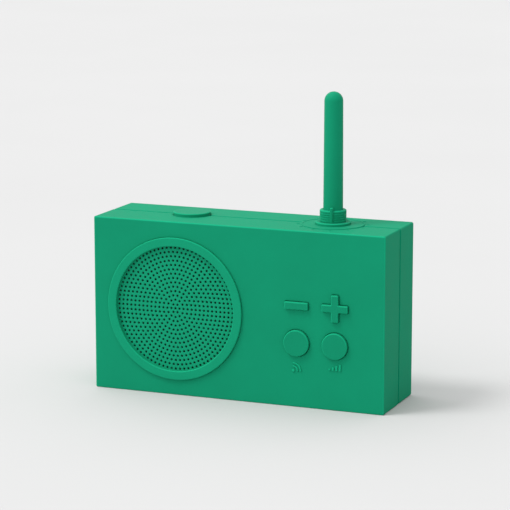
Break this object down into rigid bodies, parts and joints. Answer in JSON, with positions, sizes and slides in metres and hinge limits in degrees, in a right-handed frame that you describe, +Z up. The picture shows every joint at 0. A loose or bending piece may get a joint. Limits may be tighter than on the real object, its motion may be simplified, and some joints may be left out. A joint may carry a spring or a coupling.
{
  "type": "portable speaker radio",
  "caption": "Small box-shaped silicone-covered speaker radio with a round perforated grille, raised keys, a top power button and a stub antenna on a tuning collar.",
  "frame": {"origin": "centre of the case's flat bottom face", "axes": "+X to the right seen from the front, +Y to the back (the grille faces -Y), +Z up along the antenna"},
  "size_m": [0.147, 0.0435, 0.1465],
  "materials": {
    "case_silicone": "matte, fine texture",
    "ring_silicone": "matte, fine texture",
    "grille_silicone": "matte, perforated",
    "key_silicone": "matte",
    "base_silicone": "matte",
    "antenna_silicone": "matte",
    "inner_shell": "fine grain",
    "dark_rubber": "matte",
    "screw_steel": "zinc plated",
    "acoustic_cloth": "fine weave",
    "basket_steel": "stamped",
    "ferrite": "ground",
    "copper_wire": "enamelled",
    "cone_paper": "pressed fibre",
    "spider_cloth": "corrugated",
    "switch_stem": "moulded",
    "switch_case": "moulded",
    "circuit_board": "solder mask",
    "brass_parts": "turned",
    "spring_steel": "drawn",
    "socket_plastic": "moulded",
    "chip_resin": "moulded",
    "battery_foil": "foil pouch",
    "lead_red": "insulation",
    "lead_black": "insulation"
  },
  "bodies": {
    "case": {"antenna_base": "base_silicone", "antenna_contact": "brass_parts", "antenna_nut": "brass_parts", "battery_cell": "battery_foil", "battery_leads": "lead_red", "board_chips": "chip_resin", "board_screws": "screw_steel", "case_gasket": "dark_rubber", "case_screws": "screw_steel", "charge_board": "circuit_board", "charge_leads": "lead_black", "charge_socket": "basket_steel", "dial_plate": "case_silicone", "dial_ticks": "case_silicone", "driver_basket": "basket_steel", "driver_gasket": "dark_rubber", "driver_magnet": "ferrite", "driver_screws": "screw_steel", "driver_spider": "spider_cloth", "driver_surround": "dark_rubber", "driver_top_plate": "basket_steel", "driver_yoke": "basket_steel", "encoder_body": "switch_case", "front_cover": "case_silicone", "front_housing": "inner_shell", "grille_cloth": "acoustic_cloth", "grille_ring": "ring_silicone", "key_switches": "switch_case", "lead_sockets": "socket_plastic", "main_board": "circuit_board", "port_cover_pin": "spring_steel", "power_board": "circuit_board", "power_leads": "lead_black", "power_switch": "switch_case", "rear_cover": "case_silicone", "rear_housing": "inner_shell", "speaker_grille": "grille_silicone", "speaker_leads": "lead_red", "tray_screws": "screw_steel", "tuner_board": "circuit_board", "wireless_module": "chip_resin"},
    "tuning_knob": {"tuning_collar": "antenna_silicone", "antenna_sheath": "antenna_silicone", "antenna_whip": "spring_steel", "tuning_shaft": "brass_parts"},
    "power_button": {"power_button": "key_silicone", "power_switch_stem": "switch_stem"},
    "minus_key": {"minus_key": "key_silicone", "minus_switch_stem": "switch_stem"},
    "plus_key": {"plus_key": "key_silicone", "plus_switch_stem": "switch_stem"},
    "pairing_key": {"pairing_key": "key_silicone", "pairing_switch_stem": "switch_stem"},
    "band_key": {"band_key": "key_silicone", "band_switch_stem": "switch_stem"},
    "port_flap": {"port_cover": "case_silicone"},
    "speaker_cone": {"driver_cone": "cone_paper", "dust_cap": "cone_paper", "voice_coil": "copper_wire"}
  },
  "joints": [
    {"name": "tuning_turn", "type": "hinge", "parent": "case", "child": "tuning_knob", "pos_m": [0.0402, 0.001, 0.0856], "axis": [0, 0, 1], "range_deg": [-135, 135]},
    {"name": "power_press", "type": "slide", "parent": "case", "child": "power_button", "axis": [0, 0, -1], "range_m": [0, 0.0008], "stiffness_N_per_m": 400, "springref_m": -0.001},
    {"name": "minus_press", "type": "slide", "parent": "case", "child": "minus_key", "axis": [0, 1, 0], "range_m": [0, 0.0006], "stiffness_N_per_m": 400, "springref_m": -0.001},
    {"name": "plus_press", "type": "slide", "parent": "case", "child": "plus_key", "axis": [0, 1, 0], "range_m": [0, 0.0006], "stiffness_N_per_m": 400, "springref_m": -0.001},
    {"name": "pairing_press", "type": "slide", "parent": "case", "child": "pairing_key", "axis": [0, 1, 0], "range_m": [0, 0.0006], "stiffness_N_per_m": 400, "springref_m": -0.001},
    {"name": "band_press", "type": "slide", "parent": "case", "child": "band_key", "axis": [0, 1, 0], "range_m": [0, 0.0006], "stiffness_N_per_m": 400, "springref_m": -0.001},
    {"name": "port_flap_turn", "type": "hinge", "parent": "case", "child": "port_flap", "pos_m": [0.0402, 0.0203, 0.05075], "axis": [-1, 0, 0], "range_deg": [0, 90]},
    {"name": "cone_stroke", "type": "slide", "parent": "case", "child": "speaker_cone", "axis": [0, -1, 0], "range_m": [-0.001, 0.001], "stiffness_N_per_m": 1000, "deforming": ["driver_surround", "driver_spider"]}
  ]
}
